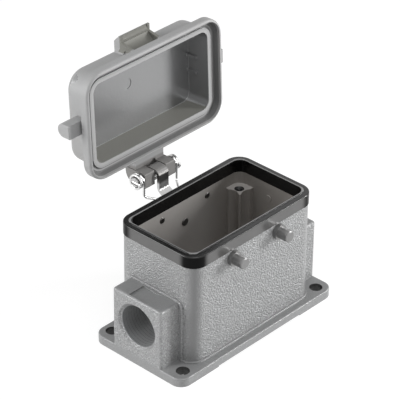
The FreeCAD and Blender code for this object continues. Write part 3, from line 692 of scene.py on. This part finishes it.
class ThreadTree:
    """A Geometry Nodes tree: one helical thread ridge, copied to each of its places."""

    def __init__(self, name: str, material: bpy.types.Material) -> None:
        """Build the tree.

        Args:
            name: Name of the tree.
            material: Material of the ridge.
        """
        tree = bpy.data.node_groups.new(name, "GeometryNodeTree")
        self.tree = tree
        tree.interface.new_socket("Geometry", in_out="INPUT", socket_type="NodeSocketGeometry")
        tree.interface.new_socket("Geometry", in_out="OUTPUT", socket_type="NodeSocketGeometry")
        for label, value in (("Radius", 9.0 * MM), ("Height", 10.0 * MM), ("Turns", 6.0), ("Ridge", 0.4 * MM)):
            socket = tree.interface.new_socket(label, in_out="INPUT", socket_type="NodeSocketFloat")
            socket.default_value = value
        nodes, links = tree.nodes, tree.links
        start = nodes.new("NodeGroupInput")
        end = nodes.new("NodeGroupOutput")
        spiral = nodes.new("GeometryNodeCurveSpiral")
        spiral.inputs["Resolution"].default_value = 40
        links.new(start.outputs["Turns"], spiral.inputs["Rotations"])
        links.new(start.outputs["Radius"], spiral.inputs["Start Radius"])
        links.new(start.outputs["Radius"], spiral.inputs["End Radius"])
        links.new(start.outputs["Height"], spiral.inputs["Height"])
        ridge = nodes.new("GeometryNodeCurvePrimitiveCircle")
        ridge.inputs["Resolution"].default_value = 6
        links.new(start.outputs["Ridge"], ridge.inputs["Radius"])
        sweep = nodes.new("GeometryNodeCurveToMesh")
        sweep.inputs["Fill Caps"].default_value = True
        links.new(spiral.outputs["Curve"], sweep.inputs["Curve"])
        links.new(ridge.outputs["Curve"], sweep.inputs["Profile Curve"])
        smooth = nodes.new("GeometryNodeSetShadeSmooth")
        links.new(sweep.outputs["Mesh"], smooth.inputs["Geometry"])
        copies = nodes.new("GeometryNodeInstanceOnPoints")
        links.new(start.outputs["Geometry"], copies.inputs["Points"])
        links.new(smooth.outputs["Geometry"], copies.inputs["Instance"])
        turn = nodes.new("GeometryNodeInputNamedAttribute")
        turn.data_type = "FLOAT_VECTOR"
        turn.inputs["Name"].default_value = "turn"
        to_turn = nodes.new("FunctionNodeEulerToRotation")
        links.new(turn.outputs["Attribute"], to_turn.inputs["Euler"])
        links.new(to_turn.outputs["Rotation"], copies.inputs["Rotation"])
        real = nodes.new("GeometryNodeRealizeInstances")
        links.new(copies.outputs["Instances"], real.inputs["Geometry"])
        painted = nodes.new("GeometryNodeSetMaterial")
        painted.inputs["Material"].default_value = material
        links.new(real.outputs["Geometry"], painted.inputs["Geometry"])
        links.new(painted.outputs["Geometry"], end.inputs["Geometry"])

    def identifier(self, label: str) -> str:
        """The identifier of an input socket by its name."""
        for item in self.tree.interface.items_tree:
            if item.item_type == "SOCKET" and item.in_out == "INPUT" and item.name == label:
                return item.identifier
        raise KeyError(label)

    def cut(self, name: str, places: Sequence[tuple[Vector, tuple[float, float, float]]],
            sizes: dict[str, float]) -> bpy.types.Object:
        """Make one plain mesh of the thread at every place.

        Args:
            name: Name of the new piece.
            places: Position and Euler turn of each copy.
            sizes: Values of the tree's inputs by name.

        Returns:
            The new object.
        """
        mesh = bpy.data.meshes.new(name + "_points")
        mesh.from_pydata([tuple(point) for point, _ in places], [], [])
        turns = mesh.attributes.new("turn", "FLOAT_VECTOR", "POINT")
        for index, (_, turn) in enumerate(places):
            turns.data[index].vector = turn
        carrier = bpy.data.objects.new(name + "_carrier", mesh)
        bpy.context.scene.collection.objects.link(carrier)
        modifier = carrier.modifiers.new("threads", "NODES")
        modifier.node_group = self.tree
        for label, value in sizes.items():
            modifier[self.identifier(label)] = value
        bpy.context.view_layer.update()
        shown = carrier.evaluated_get(bpy.context.evaluated_depsgraph_get())
        result = bpy.data.meshes.new_from_object(shown)
        bpy.data.objects.remove(carrier)
        result.name = name
        piece = bpy.data.objects.new(name, result)
        bpy.context.scene.collection.objects.link(piece)
        return piece


@dataclass
class Housing:
    """The die-cast base with its two cable entries and four insert screw holes."""

    entry_r: float = 9.2 * MM
    entry_mouth: float = 45.7 * MM
    entry_root: float = 33.6 * MM
    entry_pitch: float = 1.5 * MM
    entry_ridge: float = 0.05 * MM
    screw_top: float = 44.0 * MM
    screw_deep: float = 8.0 * MM
    screw_r: float = 1.65 * MM
    screw_pitch: float = 0.7 * MM
    screw_ridge: float = 0.16 * MM

    def build(self, finishes: Finishes) -> list[bpy.types.Object]:
        """Dress the casting and cut its threads.

        Args:
            finishes: The object's materials.

        Returns:
            The new pieces.
        """
        dress("base_housing", finishes.casting)
        entry_tree = ThreadTree("entry_thread", finishes.thread)
        length = self.entry_mouth - self.entry_root
        places = []
        for side in Side:
            start = Vector((side.value * self.entry_root, 0.0, ENTRY_Z))
            places.append((start, (0.0, side.value * math.pi / 2, 0.0)))
        sizes = {"Radius": self.entry_r, "Height": length, "Turns": length / self.entry_pitch,
                 "Ridge": self.entry_ridge}
        entries = entry_tree.cut("cable_entry_threads", places, sizes)
        screw_tree = ThreadTree("screw_thread", finishes.thread)
        holes = [(Vector((sx * SCREW_X, sy * SCREW_Y, self.screw_top - self.screw_deep)), (0.0, 0.0, 0.0))
                 for sx in (-1, 1) for sy in (-1, 1)]
        sizes = {"Radius": self.screw_r, "Height": self.screw_deep, "Turns": self.screw_deep / self.screw_pitch,
                 "Ridge": self.screw_ridge}
        screws = screw_tree.cut("insert_hole_threads", holes, sizes)
        for piece in (entries, screws):
            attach(piece, Body.BASE.value)
        return [entries, screws]


@dataclass
class RimSeal:
    """The black seal on the rim."""

    def build(self, finishes: Finishes) -> list[bpy.types.Object]:
        """Dress the seal."""
        dress("rim_gasket", finishes.rubber)
        return []


@dataclass
class LockingPins:
    """The four collared pins on the long walls."""

    places: tuple[str, ...] = ("front_left", "front_right", "rear_left", "rear_right")

    def build(self, finishes: Finishes) -> list[bpy.types.Object]:
        """Dress the pins."""
        for place in self.places:
            dress("locking_pin_" + place, finishes.pin)
        return []


@dataclass
class Hinge:
    """Bracket, rivet, axle and torsion spring."""

    def build(self, finishes: Finishes) -> list[bpy.types.Object]:
        """Dress the hinge's pieces."""
        for node in ("hinge_bracket", "bracket_rivet"):
            dress(node, finishes.sheet)
        dress("hinge_axle", finishes.axle)
        dress("torsion_spring", finishes.wire)
        return []


@dataclass
class Cover:
    """The die-cast cover."""

    def build(self, finishes: Finishes) -> list[bpy.types.Object]:
        """Dress the cover."""
        dress("cover", finishes.cover)
        return []


@dataclass
class Lamp:
    """One soft rectangular lamp."""

    name: str
    place: tuple[float, float, float]
    aim: tuple[float, float, float]
    width: float
    height: float
    power: float

    def build(self) -> bpy.types.Object:
        """Hang the lamp and turn it to its aim."""
        data = bpy.data.lights.new(self.name, "AREA")
        data.shape = "RECTANGLE"
        data.size = self.width
        data.size_y = self.height
        data.energy = self.power
        lamp = bpy.data.objects.new(self.name, data)
        lamp.location = self.place
        lamp.rotation_euler = (Vector(self.aim) - Vector(self.place)).to_track_quat("-Z", "Y").to_euler()
        bpy.context.scene.collection.objects.link(lamp)
        return lamp


@dataclass
class Studio:
    """Plain pale floor, white surroundings and soft lamps."""

    floor_half: float = 3.0
    floor_tone: float = 0.8
    floor_seen: float = 0.32
    floor_glow: float = 0.8
    ambient: float = 0.25
    white: float = 1.0
    lamps: tuple[Lamp, ...] = field(default_factory=lambda: (
        Lamp("left_lamp", (-0.78, 0.45, 0.34), (0.0, 0.0, 0.05), 0.55, 0.6, 5.7),
        Lamp("front_lamp", (0.70, -0.56, 0.28), (0.0, 0.0, 0.06), 0.20, 0.4, 7.0),
        Lamp("top_lamp", (-0.16, -0.34, 0.80), (0.0, 0.0, 0.06), 0.4, 0.4, 1.5),
    ))

    def camera_ray(self, ink: NodeInk) -> bpy.types.NodeSocket:
        """1 for what the camera sees directly, in gloss or through glass."""
        path = ink.node("ShaderNodeLightPath")
        seen = ink.math("MAXIMUM", path.outputs["Is Camera Ray"], path.outputs["Is Glossy Ray"])
        return ink.math("MAXIMUM", seen, path.outputs["Is Transmission Ray"])

    def floor_material(self) -> bpy.types.Material:
        """Pale floor that keeps a soft shadow on white."""
        ink = NodeInk("pale_floor")
        plain = ink.node("ShaderNodeBsdfDiffuse")
        plain.inputs["Color"].default_value = grey(self.floor_tone)
        tint = ink.node("ShaderNodeBsdfDiffuse")
        tint.inputs["Color"].default_value = grey(self.floor_seen)
        glow = ink.node("ShaderNodeEmission")
        glow.inputs["Color"].default_value = grey(self.white)
        glow.inputs["Strength"].default_value = self.floor_glow
        both = ink.node("ShaderNodeAddShader")
        ink.link(tint.outputs[0], both.inputs[0])
        ink.link(glow.outputs[0], both.inputs[1])
        out = ink.node("ShaderNodeOutputMaterial")
        ink.link(ink.mix_shader(self.camera_ray(ink), plain, both), out.inputs["Surface"])
        return ink.material

    def build_floor(self) -> bpy.types.Object:
        """Lay the floor under the flange."""
        half = self.floor_half
        mesh = bpy.data.meshes.new("floor")
        mesh.from_pydata([(-half, -half, 0), (half, -half, 0), (half, half, 0), (-half, half, 0)], [], [(0, 1, 2, 3)])
        mesh.materials.append(self.floor_material())
        floor = bpy.data.objects.new("floor", mesh)
        bpy.context.scene.collection.objects.link(floor)
        return floor

    def build_world(self) -> None:
        """White for the eye and for reflections, soft grey for the light it gives."""
        ink = WorldInk("white_surroundings")
        soft, white = (ink.node("ShaderNodeBackground") for _ in range(2))
        for sky, strength in ((soft, self.ambient), (white, self.white)):
            sky.inputs["Color"].default_value = grey(1.0)
            sky.inputs["Strength"].default_value = strength
        out = ink.node("ShaderNodeOutputWorld")
        ink.link(ink.mix_shader(self.camera_ray(ink), soft, white), out.inputs["Surface"])

    def build(self) -> None:
        """Set up floor, world and lamps."""
        self.build_floor()
        self.build_world()
        for lamp in self.lamps:
            lamp.build()
        view = bpy.context.scene.view_settings
        view.view_transform = "Standard"


@dataclass
class PhotoCamera:
    """Camera at the photograph's viewing angle, without its sideways stretch."""

    azimuth: float = -47.227
    elevation: float = 32.228
    roll: float = 0.584
    distance: float = 0.918520
    centre: tuple[float, float, float] = (0.0, 0.0, 0.03832)
    shift_right: float = -0.006978
    shift_up: float = 0.016281
    focal_pixels: float = 2241.44
    frame_pixels: float = 400.0
    sensor: float = 36.0

    def build(self) -> bpy.types.Object:
        """Place the camera and make it the scene's own."""
        turn = math.radians(self.azimuth)
        lift = math.radians(self.elevation)
        tilt = math.radians(self.roll)
        back = Vector((math.sin(turn) * math.cos(lift), -math.cos(turn) * math.cos(lift), math.sin(lift)))
        right = Vector((math.cos(turn), math.sin(turn), 0.0))
        up = back.cross(right)
        target = Vector(self.centre) + right * self.shift_right + up * self.shift_up
        rolled_right = right * math.cos(tilt) + up * math.sin(tilt)
        rolled_up = up * math.cos(tilt) - right * math.sin(tilt)
        place = target + back * self.distance
        data = bpy.data.cameras.new("photo_camera")
        data.sensor_width = self.sensor
        data.sensor_fit = "HORIZONTAL"
        data.lens = self.focal_pixels * self.sensor / self.frame_pixels
        data.clip_start = 0.05
        data.clip_end = 20.0
        camera = bpy.data.objects.new("photo_camera", data)
        bpy.context.scene.collection.objects.link(camera)
        rows = Matrix((rolled_right, rolled_up, back)).transposed()
        camera.matrix_world = Matrix.Translation(place) @ rows.to_4x4()
        bpy.context.scene.camera = camera
        return camera


def main() -> None:
    """Build every sub-assembly, then the studio and the camera."""
    logging.basicConfig(level=logging.INFO, format="%(name)s: %(message)s")
    finishes = Finishes()
    for assembly in (Housing(), RimSeal(), LockingPins(), Hinge(), Cover()):
        made = assembly.build(finishes)
        for piece in made:
            LOG.info("%s: %d faces", piece.name, len(piece.data.polygons))
    Studio().build()
    PhotoCamera().build()


if __name__ == "__main__":
    main()
